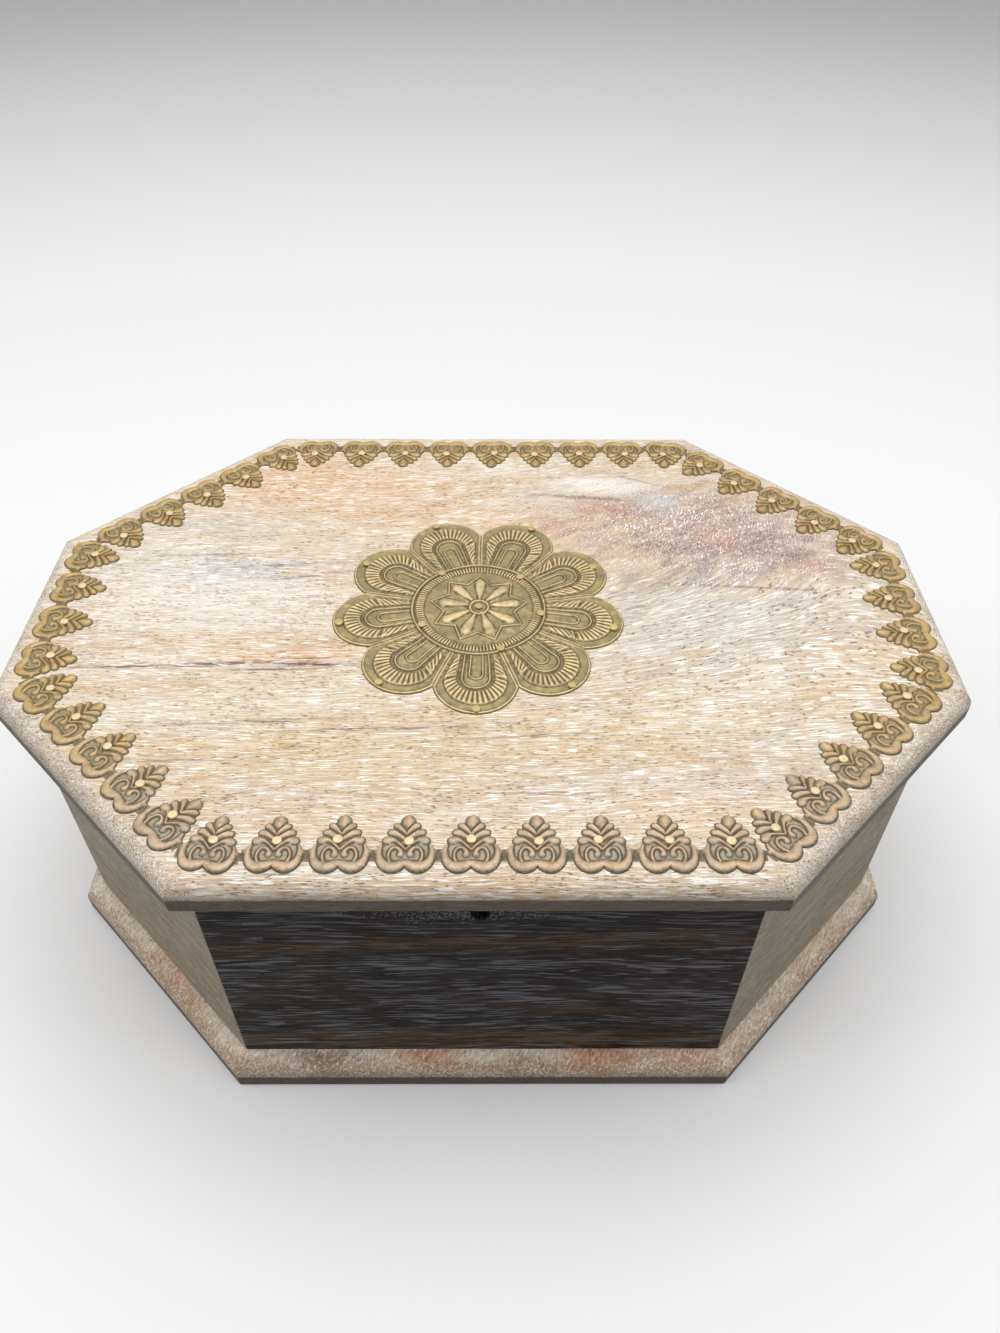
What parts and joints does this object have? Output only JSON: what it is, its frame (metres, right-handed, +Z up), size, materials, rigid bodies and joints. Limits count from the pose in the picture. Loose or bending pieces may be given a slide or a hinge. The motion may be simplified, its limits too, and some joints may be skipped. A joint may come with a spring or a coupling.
{
  "type": "octagonal wooden box",
  "caption": "Octagonal wooden keepsake box with a hinged lid, embossed brass border and rosette medallion, a keyhole with a box lock, and a cloth-lined floor.",
  "frame": {"origin": "middle of the underside of the plinth, which stands on the floor", "axes": "+Z up; +X to the right along the box's length; -Y towards the front panel with the keyhole; +Y towards the hinges"},
  "size_m": [0.305, 0.218, 0.1215],
  "materials": {
    "limed_wood": "limed and lightly waxed, worn, golden tan with white pores",
    "front_wood": "darker grey-brown board with streaks of white wax",
    "embossed_brass": "thin embossed sheet, aged dark in the recesses",
    "nail_brass": "worn bright",
    "plain_brass": "satin",
    "steel_screw": "plain zinc",
    "lining_felt": "matt wine-red felt"
  },
  "bodies": {
    "box": {"plinth_board": "limed_wood", "wall_front": "front_wood", "wall_front_right": "limed_wood", "wall_right": "limed_wood", "wall_back_right": "limed_wood", "wall_back": "limed_wood", "wall_back_left": "limed_wood", "wall_left": "limed_wood", "wall_front_left": "limed_wood", "floor_lining": "lining_felt", "base_screws": "steel_screw", "hinge_left_wall_leaf": "plain_brass", "hinge_left_pin": "steel_screw", "hinge_right_wall_leaf": "plain_brass", "hinge_right_pin": "steel_screw", "hinge_wall_screws": "plain_brass", "lock_case": "plain_brass", "lock_screws": "plain_brass"},
    "lid": {"lid_board": "limed_wood", "medallion": "embossed_brass", "medallion_nails": "nail_brass", "border_front": "embossed_brass", "border_front_right": "embossed_brass", "border_right": "embossed_brass", "border_back_right": "embossed_brass", "border_back": "embossed_brass", "border_back_left": "embossed_brass", "border_left": "embossed_brass", "border_front_left": "embossed_brass", "border_nails": "nail_brass", "hinge_left_lid_leaf": "plain_brass", "hinge_right_lid_leaf": "plain_brass", "hinge_lid_screws": "plain_brass", "lid_staple": "plain_brass", "staple_screws": "plain_brass"},
    "bolt": {"lock_bolt": "steel_screw"}
  },
  "joints": [
    {"name": "lid_hinge", "type": "hinge", "parent": "box", "child": "lid", "pos_m": [0, 0.1046, 0.1085], "axis": [-1, 0, 0], "range_deg": [0, 110]},
    {"name": "bolt_slide", "type": "slide", "parent": "box", "child": "bolt", "axis": [1, 0, 0], "range_m": [0, 0.0045]}
  ]
}
